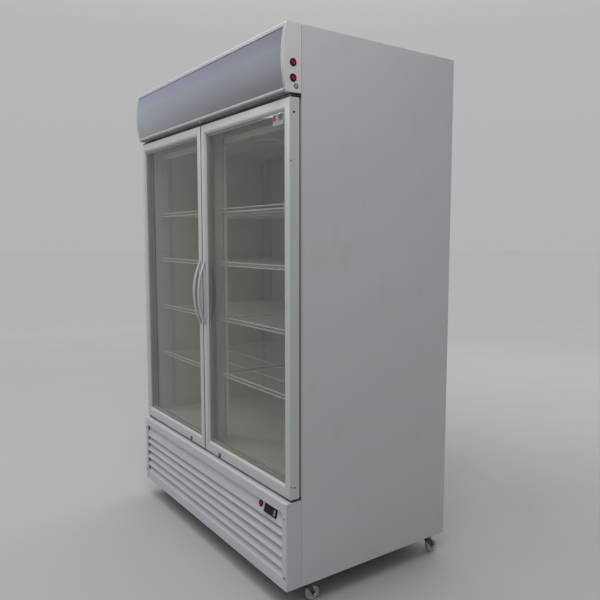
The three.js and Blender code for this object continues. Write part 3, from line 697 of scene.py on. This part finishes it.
def grille_shell():
    """The folded cover: rounded outside, hollow behind, with the window for the louvres."""
    sheet = 2 * MM
    outside = ((-HALF, HALF), (GRILLE_FRONT, FRONT - 0.4 * MM), (BODY_LOW, GRILLE_TOP))
    shell = block("base_grille", *outside, FRONT_WHITE)
    bevelled = shell.data.attributes.new("bevel_weight_edge", "FLOAT", "EDGE")
    for edge in shell.data.edges:
        a, b = (shell.data.vertices[i].co for i in edge.vertices)
        at_front = max(a.y, b.y) < GRILLE_FRONT + 1 * MM
        at_top = min(a.z, b.z) > GRILLE_TOP - 1 * MM
        upright = abs(a.x - b.x) < 1 * MM
        bevelled.data[edge.index].value = 1.0 if at_front and (at_top or upright) else 0.0
    modifier = shell.modifiers.new("folds", "BEVEL")
    modifier.limit_method = "WEIGHT"
    modifier.width = 6 * MM
    modifier.segments = 6
    settle(shell)
    inside = 8 * MM
    hollow = block(
        "hollow", (-HALF + sheet, HALF - sheet), (GRILLE_FRONT + inside, FRONT + 10 * MM),
        (BODY_LOW - 5 * MM, GRILLE_TOP - sheet), FRONT_WHITE,
    )
    cut(shell, hollow)
    window = block(
        "window", (-WINDOW_HALF, WINDOW_HALF), (GRILLE_FRONT - 10 * MM, GRILLE_FRONT + 12 * MM),
        (WINDOW_LOW, WINDOW_TOP), FRONT_WHITE,
    )
    cut(shell, window)
    for polygon in shell.data.polygons:
        polygon.use_smooth = True
    shell.data.set_sharp_from_angle(angle=math.radians(35))
    soften(shell, 1.2 * MM, 3, 50)
    fit(shell, "cabinet", "white_shell", "grille_panel")


def louvre_profile():
    """(y, z, kind) down the pressed sheet: the sloping field, then an open slot, a slope and a nose
    per louvre."""
    tall_notch = 26 * MM
    points = [(FIELD_DEEP, WINDOW_TOP + 3 * MM, "face"), (FIELD_DEEP, WINDOW_TOP - 1 * MM, "face")]
    notch_y = FIELD_DEEP - (tall_notch - 1 * MM) * math.tan(FIELD_TILT)
    points += [(notch_y, WINDOW_TOP - tall_notch, "notch")]
    points += [(GRILLE_FRONT + 2.4 * MM, FIELD_LOW + 3 * MM, "face")]
    above = FIELD_LOW
    nose_y = GRILLE_FRONT + 2 * MM
    for crest in CRESTS:
        points += [(nose_y, above + 1 * MM, "face"), (nose_y + 1.6 * MM, above - 1.5 * MM, "face")]
        points += [(VALLEY_Y - 1 * MM, above - 3 * MM, "slot"), (VALLEY_Y, above - 6 * MM, "valley")]
        drop = above - 6 * MM - (crest + 4 * MM)
        for i in range(1, 9):
            t = i / 8
            y = VALLEY_Y + (CREST_Y - VALLEY_Y) * (1 - (1 - t) ** 1.35) ** 1.15
            points.append((y, above - 6 * MM - drop * t, "valley" if t < 0.3 else "face"))
        nose_y = CREST_Y
        above = crest
    points += [(CREST_Y, above - 3 * MM, "face")]
    return points


def louvres():
    ends = 9 * MM
    edge = WINDOW_HALF + 6 * MM
    columns = [-edge, -WINDOW_HALF, -WINDOW_HALF + ends]
    count = 6
    web = 12 * MM
    pitch = 2 * (WINDOW_HALF - ends) / count
    for i in range(1, count):
        middle = -WINDOW_HALF + ends + i * pitch
        columns += [middle - web / 2, middle + web / 2]
    columns += [WINDOW_HALF - ends, WINDOW_HALF, edge]
    profile = louvre_profile()
    vertices = [(x, y, z) for x in columns for y, z, _ in profile]
    rows = len(profile)
    last = len(columns) - 2
    faces = []
    for c in range(len(columns) - 1):
        at_end = c in (1, last - 1)
        solid = c in (0, last) or (2 <= c < last - 1 and c % 2 == 1)
        for r in range(rows - 1):
            kind = profile[r + 1][2]
            if kind == "slot" and not solid:
                continue
            if kind in ("valley", "notch") and at_end:
                continue
            here = c * rows + r
            faces.append((here, here + 1, here + rows + 1, here + rows))
    sheet = from_data("louvre_sheet", vertices, faces, FRONT_WHITE, 60)
    thick = sheet.modifiers.new("sheet", "SOLIDIFY")
    thick.thickness = 1.2 * MM
    thick.offset = 0
    fit(sheet, "cabinet", "white_shell")
    # Painted shade: a black sheet behind the louvres, darkening the open slots and end notches.
    shade_x = (-WINDOW_HALF - 8 * MM, WINDOW_HALF + 8 * MM)
    shade_y = (VALLEY_Y + 5 * MM, VALLEY_Y + 7 * MM)
    shade_z = (WINDOW_LOW, WINDOW_TOP + 4 * MM)
    screen = block("louvre_painted_shade_backing", shade_x, shade_y, shade_z, BLACK)
    fit(screen, "cabinet", "black_plastic")


def grille_controls():
    low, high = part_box("power_rocker")
    x, z = (low.x + high.x) / 2, (low.z + high.z) / 2
    tip = Matrix.Rotation(math.radians(-10), 4, "X")
    lean = Matrix.Rotation(-FIELD_TILT, 4, "X")
    place = facing_front(x, FIELD_Y + 0.6 * MM, z) @ lean
    rocker("power_rocker", "power_rocker", "power_rocker", place, tip)

    low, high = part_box("temperature_controller")
    face = low.y
    x = (low.x, high.x)
    z = (low.z + 2.4 * MM, high.z - 1.2 * MM)
    bezel = block("controller_bezel", x, (face, face + 9 * MM), z, BLACK, 2.2 * MM, 4)
    pivot = Matrix.Translation((0, face + 3 * MM, (z[0] + z[1]) / 2))
    tilted = pivot @ Matrix.Rotation(-1.5 * FIELD_TILT, 4, "X") @ pivot.inverted()
    bezel.data.transform(tilted)
    fit(bezel, "cabinet", "black_plastic", "temperature_controller")
    border = 4.5 * MM
    strip = 13 * MM
    screen = block(
        "controller_screen", (x[0] + border, x[1] - border - strip), (face - 0.5 * MM, face + 2 * MM),
        (z[0] + border, z[1] - border), SCREEN, 0.5 * MM,
    )
    screen.data.transform(tilted)
    fit(screen, "cabinet", "black_plastic")
    keys = block(
        "controller_keys", (x[1] - border - strip + 2 * MM, x[1] - border + 1 * MM),
        (face - 0.6 * MM, face + 2 * MM), (z[0] + border, z[1] - border), KEYPAD, 0.8 * MM,
    )
    keys.data.transform(tilted)
    fit(keys, "cabinet", "black_plastic")
    for name, height, radius in (("upper", 252, 3.2), ("lower", 44, 4.6)):
        for side, sign in SIDES:
            place = facing_front(sign * (HALF - 14 * MM), GRILLE_FRONT - 0.1 * MM, BODY_LOW + height * MM)
            screw(f"grille_screw_{name}_{side}", place, radius * MM, "cabinet", DARK_ZINC, "zinc_steel")


# ---- Doors ----
STILE = 36 * MM
BOTTOM_RAIL = 44 * MM
TOP_RAIL = 38 * MM


def door(side, sign):
    frame_low, frame_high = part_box(f"{side}_door_frame")
    x = (frame_low.x, frame_high.x)
    z = (frame_low.z, frame_high.z)
    face = frame_low.y
    back = frame_high.y
    fold = 3 * MM
    profile = [(2.5 * MM, back), (0, back - 2.5 * MM)]
    for a in (0, 0.5, 1.05, 1.5708):
        profile.append((fold - fold * math.cos(a), face + fold - fold * math.sin(a)))
    profile += [
        (26.6 * MM, face), (27.2 * MM, face + 0.9 * MM), (28.0 * MM, face + 0.9 * MM),
        (28.7 * MM, face + 0.2 * MM), (30.0 * MM, face + 0.5 * MM), (STILE - 0.5 * MM, face + 5.7 * MM),
        (STILE, face + 6.3 * MM), (STILE, back),
    ]
    body = f"{side}_door"
    scale = (1, 1, BOTTOM_RAIL / STILE, TOP_RAIL / STILE)
    piece = ring(f"{side}_door_surround", profile, x, z, DOOR_WHITE, scale, 25)
    fit(piece, body, "door_white", f"{side}_door_frame")

    # Painted shade: thin dark strips on the meeting edge, darkening the gap between the doors.
    edge_x = (x[1] - 0.2 * MM, x[1] + 0.5 * MM) if sign < 0 else (x[0] - 0.5 * MM, x[0] + 0.2 * MM)
    edge_y = (face + 1.8 * MM, back - 4 * MM)
    gap_shade_strip = block(f"{side}_meeting_gap_shade", edge_x, edge_y, (z[0] + 4 * MM, z[1] - 4 * MM), RUBBER)
    fit(gap_shade_strip, body, "gasket_rubber")

    hole = (x[0] + STILE, x[1] - STILE)
    hole_z = (z[0] + BOTTOM_RAIL, z[1] - TOP_RAIL)
    inset = 0.4 * MM
    pane_x = (hole[0] + inset, hole[1] - inset)
    pane_z = (hole_z[0] + inset, hole_z[1] - inset)
    outer_y = (face + 6.4 * MM, face + 9.4 * MM)
    outer = block(f"{side}_outer_pane", pane_x, outer_y, pane_z, GLASS, 0.4 * MM, 1)
    fit(outer, body, "door_glass", f"{side}_door_glass")
    inner_y = (face + 22 * MM, face + 25 * MM)
    inner = block(f"{side}_inner_pane", pane_x, inner_y, pane_z, GLASS, 0.4 * MM, 1)
    fit(inner, body, "door_glass")
    bar = [(0, 9.8), (0, 21.6), (7, 21.6), (8, 20.6), (8, 18.4)]
    bar += [(7.2, 17.6), (7.2, 13.8), (8, 13), (8, 10.8), (7, 9.8)]
    bar_profile = [(i * MM, face + d * MM) for i, d in bar]
    spacer = ring(f"{side}_spacer_bar", bar_profile, pane_x, pane_z, SPACER)
    fit(spacer, body, "black_plastic")

    seal_low, seal_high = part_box(f"{side}_door_gasket")
    near, far = seal_low.y, seal_high.y
    half = (far - near) / 2
    bellows = [
        (1 * MM, near), (0, near + half / 2), (2.5 * MM, near + half), (0.5 * MM, far - half / 2),
        (0.5 * MM, far), (17 * MM, far), (17.5 * MM, far - half / 2), (15 * MM, near + half),
        (17.5 * MM, near + half / 2), (16 * MM, near),
    ]
    span = (seal_low.x, seal_high.x)
    seal = ring(f"{side}_seal", bellows, span, (seal_low.z, seal_high.z), RUBBER)
    fit(seal, body, "gasket_rubber", f"{side}_door_gasket")

    outer_x = x[1] if sign > 0 else x[0]
    edge_screws = ((15, 359, 3.0), (1, 363, 2.4), (13, 1590, 4.0), (1, 1438, 2.6))
    for i, (y, height, size) in enumerate(edge_screws):
        place = facing_x(outer_x, face + y * MM + 4 * MM, BODY_LOW + height * MM, sign)
        screw(f"{side}_door_screw_{i + 1}", place, size * MM, body, BLACK, "black_plastic", False)


def handle(side):
    """A bow from two arcs, narrow at its feet and broad at its crest."""
    low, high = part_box(f"{side}_door_handle")
    middle = (low.z + high.z) / 2
    reach = (high.z - low.z) / 2
    rise = high.y - low.y
    face = high.y
    x = (low.x + high.x) / 2
    inner_reach = reach - 15 * MM
    inner_rise = rise - 8 * MM
    outer_radius = (reach ** 2 + rise ** 2) / (2 * rise)
    inner_radius = (inner_reach ** 2 + inner_rise ** 2) / (2 * inner_rise)
    rows = 56
    sides = 20
    vertices = []
    for i in range(rows + 1):
        t = -1 + 2 * i / rows
        z = reach * t
        out = math.sqrt(outer_radius ** 2 - z ** 2) - (outer_radius - rise)
        near = 0.0
        if abs(z) < inner_reach:
            near = math.sqrt(inner_radius ** 2 - z ** 2) - (inner_radius - inner_rise)
        out = max(out, near + 0.6 * MM, 1.2 * MM)
        half_width = (4.6 + 4.4 * (1 - t * t) ** 0.8) * MM
        centre = (out + near) / 2
        half_thick = (out - near) / 2
        for k in range(sides):
            angle = 2 * math.pi * k / sides
            c, s = math.cos(angle), math.sin(angle)
            u = half_width * math.copysign(abs(c) ** 0.62, c)
            v = half_thick * math.copysign(abs(s) ** 0.62, s)
            vertices.append((x + u, face - centre - v, middle + z))
    faces = []
    for i in range(rows):
        for k in range(sides):
            m = (k + 1) % sides
            faces.append((i * sides + k, i * sides + m, (i + 1) * sides + m, (i + 1) * sides + k))
    faces.append(tuple(range(sides)))
    faces.append(tuple(rows * sides + k for k in reversed(range(sides))))
    piece = from_data(f"{side}_pull", vertices, faces, HANDLE, 60)
    fit(piece, f"{side}_door", "door_white", f"{side}_door_handle")


def lock(side):
    low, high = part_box(f"{side}_door_lock")
    x, z = (low.x + high.x) / 2, (low.z + high.z) / 2
    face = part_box(f"{side}_door_frame")[0].y
    place = facing_front(x, face, z)
    collar = [(4.8, 0.2), (8.3, 0.2), (8.5, 1.0), (8.0, 2.2), (6.6, 3.0), (5.4, 3.0), (4.8, 2.4)]
    collar.append(collar[0])
    piece = lathe(f"{side}_lock_collar", mm(collar), BLACK, place)
    fit(piece, f"{side}_door", "black_plastic")
    plug = [(0, 2.4), (3.9, 2.4), (4.5, 1.8), (4.5, -10), (0, -10)]
    barrel = lathe(f"{side}_lock_barrel", mm(plug), CHROME, place)
    slit_x = (x - 0.6 * MM, x + 0.6 * MM)
    slit_y = (face - 5 * MM, face - 0.5 * MM)
    slit = block("slit", slit_x, slit_y, (z - 2.8 * MM, z + 2.8 * MM), BLACK)
    cut(barrel, slit)
    fit(barrel, f"{side}_lock", "bright_metal", f"{side}_door_lock")


def hinges():
    for side, _ in SIDES:
        for end in ("top", "bottom"):
            dress(f"{side}_{end}_hinge", DARK_ZINC, 0.0006)


def sticker():
    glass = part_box("right_door_glass")
    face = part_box("right_door_frame")[0].y
    film = block(
        "corner_sticker", (glass[1].x - 72 * MM, glass[1].x - 6 * MM), (face + 5.9 * MM, face + 6.2 * MM),
        (glass[1].z - 40 * MM, glass[1].z - 4 * MM), STICKER,
    )
    fit(film, "right_door", "door_glass")


# ---- Interior ----


def shelf(node):
    """A welded wire shelf: deck wires that turn up into a two-wire front lip, over cross wires."""
    low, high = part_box(node)
    thick = 2.8 * MM
    edge = 5.0 * MM
    deck = low.z + 5 * MM
    lip = high.z - edge / 2
    x0, x1 = low.x + edge / 2, high.x - edge / 2
    y0, y1 = low.y + edge / 2, high.y - edge / 2
    paths = [
        ([(x0, y0, deck - 1.5 * MM), (x1, y0, deck - 1.5 * MM)], edge / 2),
        ([(x0, y0, lip), (x1, y0, lip)], edge / 2),
        ([(x0, y1, deck), (x1, y1, deck)], edge / 2),
        ([(x0, y0, deck), (x0, y1, deck)], edge / 2),
        ([(x1, y0, deck), (x1, y1, deck)], edge / 2),
    ]
    for i in range(1, 4):
        y = y0 + (y1 - y0) * i / 4
        paths.append(([(x0, y, deck - 2 * MM), (x1, y, deck - 2 * MM)], edge / 2))
    count = 23
    for i in range(1, count):
        x = x0 + (x1 - x0) * i / count
        wire = [(x, y1, deck + 2 * MM), (x, y0 + 5 * MM, deck + 2 * MM)]
        wire += [(x, y0 + 2 * MM, deck + 4 * MM), (x, y0 + 1 * MM, lip)]
        paths.append((wire, thick / 2))
    piece = tubes(f"{node}_wires", paths, WIRE, 6)
    fit(piece, "cabinet", "wire_white", node)


def pilasters():
    """Slotted strips that carry the shelves, on the side walls, behind the mullion and on the back wall."""
    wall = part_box("liner_right_wall")[0].x
    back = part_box("liner_back_wall")[0].y
    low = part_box("liner_floor")[1].z + 20 * MM
    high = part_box("evaporator_cover")[0].z - 15 * MM
    places = []
    for _, sign in SIDES:
        for y in (FRONT + 75 * MM, back - 60 * MM):
            x = on_side(sign, wall - 3 * MM, wall - 0.3 * MM)
            places.append((x, (y - 12 * MM, y + 12 * MM)))
    for x in (-16 * MM, 16 * MM):
        places.append(((x - 9 * MM, x + 9 * MM), (back - 3 * MM, back - 0.3 * MM)))
    frame_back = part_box("face_frame")[1].y
    for x in (-16 * MM, 16 * MM):
        places.append(((x - 5 * MM, x + 5 * MM), (frame_back + 0.3 * MM, frame_back + 14 * MM)))
    for i, (x, y) in enumerate(places):
        fit(block(f"pilaster_{i + 1}", x, y, (low, high), TRIM, 0.6 * MM, 2), "cabinet", "zinc_steel")


def light_strips():
    """A slim lamp cover along the top of each bay's opening, and one down each side of the mullion."""
    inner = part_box("liner_right_wall")[0].x
    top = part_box("right_door_gasket")[1].z - 27 * MM
    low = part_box("liner_floor")[1].z + 20 * MM
    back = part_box("face_frame")[1].y
    for side, sign in SIDES:
        x = on_side(sign, 34 * MM, inner - 12 * MM)
        y = (back + 1 * MM, back + 22 * MM)
        across = block(f"top_light_{side}", x, y, (top - 26 * MM, top - 4 * MM), LIGHT_STRIP, 3 * MM)
        fit(across, "cabinet", "wire_white")
        x = on_side(sign, 23 * MM, 31 * MM)
        y = (back + 1 * MM, back + 14 * MM)
        upright = block(f"mullion_light_{side}", x, y, (low, top - 30 * MM), LIGHT_STRIP, 2.5 * MM)
        fit(upright, "cabinet", "wire_white")


def fan_guard():
    """Wire rings and spokes under the opening in the evaporator cover."""
    low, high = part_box("evaporator_fan")
    middle = (low + high) / 2
    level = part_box("evaporator_cover")[0].z - 2.2 * MM
    outer = 92 * MM
    paths = []
    rings = 15
    for i in range(1, rings + 1):
        circle = arc((middle.x, middle.y), outer * i / rings, 0, 360, 40)
        paths.append(([(x, y, level) for x, y in circle], 1.6 * MM))
    for angle in range(0, 180, 45):
        way = Vector((math.cos(math.radians(angle)), math.sin(math.radians(angle)), 0)) * outer
        hub = Vector((middle.x, middle.y, level + 1.6 * MM))
        paths.append(([hub - way, hub + way], 1.4 * MM))
    fit(tubes("evaporator_fan_guard", paths, WIRE, 5), "cabinet", "wire_white")


def interior():
    for side, _ in SIDES:
        for i in range(1, 5):
            shelf(f"{side}_shelf_{i}")
    pilasters()
    light_strips()
    dress("evaporator_cover", LINER, 0.0006)
    fan_guard()
    dress("evaporator_coil", FINS, 0.0004)
    dress("evaporator_fan", BLACK, 0.0004)
    dress("condenser", FINS, 0.0004)
    dress("condenser_fan", BLACK, 0.0004)
    dress("compressor", ENAMEL, 0.0006)


# ---- Casters ----


def casters():
    for end in ("front", "rear"):
        for side, _ in SIDES:
            dress(f"caster_fork_{end}_{side}", DARK_ZINC, 0.0005)
            low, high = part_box(f"caster_wheel_{end}_{side}")
            centre = (low + high) / 2
            w = (high.x - low.x) / 2 / MM
            r = (high.z - low.z) / 2 / MM
            rim = [
                (4.4, w), (8.5, w), (9.5, w - 0.8), (11, w - 3.2), (r - 7.5, w - 3.6), (r - 6.2, w - 1.2),
                (r - 5.2, w - 0.3), (r - 3.0, w - 0.2), (r - 1.2, w - 1.2), (r - 0.3, w - 3.0), (r, w - 5.5),
            ]
            profile = rim + [(a, -b) for a, b in reversed(rim)] + [rim[0]]
            place = facing_x(centre.x, centre.y, centre.z)
            wheel = lathe(f"wheel_{end}_{side}", mm(profile), CASTER, place, 64)
            fit(wheel, f"wheel_{end}_{side}", "caster_plastic", f"caster_wheel_{end}_{side}")
            fork_low, fork_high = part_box(f"caster_fork_{end}_{side}")
            plate_edge = 5 * MM
            arms = (("outer", fork_high.x - plate_edge, 1), ("inner", fork_low.x + plate_edge, -1))
            for label, at, way in arms:
                dome = [(0, 1.6), (2.4, 1.2), (3.8, 0.2), (4.2, -1.2), (4.2, -4.2), (0, -4.2)]
                nut = lathe(
                    f"axle_nut_{end}_{side}_{label}", mm(dome), NUT,
                    facing_x(at, centre.y, centre.z, way), 24,
                )
                fit(nut, f"swivel_{end}_{side}", "bright_metal")


# ---- Stage ----


def floor_paint():
    """A matt pale floor with painted shade: a little darker under and close around the object."""
    material, tree, shader = new_material("floor_paint")
    coordinates = tree.nodes.new("ShaderNodeTexCoord")
    distance = tree.nodes.new("ShaderNodeVectorMath")
    distance.operation = "LENGTH"
    tree.links.new(coordinates.outputs["Object"], distance.inputs[0])
    # Painted shade: darkest within 1.2 m of the object, full pale tone from 6.5 m out.
    painted_floor_shade = remap(tree, distance.outputs["Value"], 0.0, 1.0, 1.2, 6.5)
    tone = ramp(tree, painted_floor_shade, [(0.0, (0.42, 0.42, 0.42)), (1.0, (0.635, 0.635, 0.63))])
    patches = ramp(tree, noise(tree, 1.4, 3.0), [(0.3, (0.985, 0.985, 0.985)), (0.7, (1, 1, 1))])
    tree.links.new(multiply(tree, tone, patches), shader.inputs["Base Color"])
    tree.links.new(remap(tree, noise(tree, 3, 3.0), 0.7, 0.85), shader.inputs["Roughness"])
    bump(tree, shader, noise(tree, 40, 2.0), 0.2, 0.0002)
    return material


def studio():
    """A pale room: an even glow that is brighter overhead and dimmer on the right, and four soft lamps.
    The side lamp is kept out of reflections, or it would show as a bright square in the glass."""
    world = bpy.data.worlds.new("studio")
    world.use_nodes = True
    tree = world.node_tree
    background = tree.nodes["Background"]
    coordinates = tree.nodes.new("ShaderNodeTexCoord")
    split = tree.nodes.new("ShaderNodeSeparateXYZ")
    tree.links.new(coordinates.outputs["Generated"], split.inputs["Vector"])
    sky = ramp(tree, split.outputs["Z"], [
        (0.0, (0.455, 0.455, 0.46)), (0.3, (0.48, 0.48, 0.49)),
        (0.65, (0.76, 0.77, 0.79)), (1.0, (1.0, 1.0, 1.0)),
    ])
    dim_side = remap(tree, split.outputs["X"], 0.0, 1.0, -0.1, 0.9)
    dimming = ramp(tree, dim_side, [(0.0, (1, 1, 1)), (1.0, (0.5, 0.5, 0.5))])
    tree.links.new(multiply(tree, sky, dimming), background.inputs["Color"])
    background.inputs["Strength"].default_value = 1.0
    bpy.context.scene.world = world

    mesh = bpy.data.meshes.new("studio_floor")
    reach = 60
    corners = [(-reach, -reach, 0), (reach, -reach, 0), (reach, reach, 0), (-reach, reach, 0)]
    mesh.from_pydata(corners, [], [(0, 1, 2, 3)])
    floor = bpy.data.objects.new("studio_floor", mesh)
    mesh.materials.append(floor_paint())
    bpy.context.scene.collection.objects.link(floor)

    lamps = [
        ("overhead_front", (-0.1, -1.3, 4.0), (0.0, -0.4, 0.6), 1.6, 32),
        ("side_key", (1.5, -0.9, 3.0), (0.63, -0.1, 1.6), 0.6, 13),
        ("left_front", (-1.6, -1.9, 2.6), (-0.3, -0.4, 1.3), 0.9, 11),
        ("rear_fill", (-1.5, 4.0, 3.4), (0.0, 0.4, 1.0), 2.6, 30),
    ]
    for name, place, aim, size, power in lamps:
        data = bpy.data.lights.new(name, "AREA")
        data.shape = "SQUARE"
        data.size = size
        data.energy = power
        lamp = bpy.data.objects.new(name, data)
        lamp.location = place
        lamp.visible_glossy = name != "side_key"
        lamp.rotation_euler = (Vector(aim) - Vector(place)).to_track_quat("-Z", "Y").to_euler()
        bpy.context.scene.collection.objects.link(lamp)


cabinet()
rear_details()
header()
header_controls()
grille_shell()
louvres()
grille_controls()
for side, sign in SIDES:
    door(side, sign)
    handle(side)
    lock(side)
hinges()
sticker()
interior()
casters()
studio()
bpy.context.scene.view_settings.view_transform = "Standard"
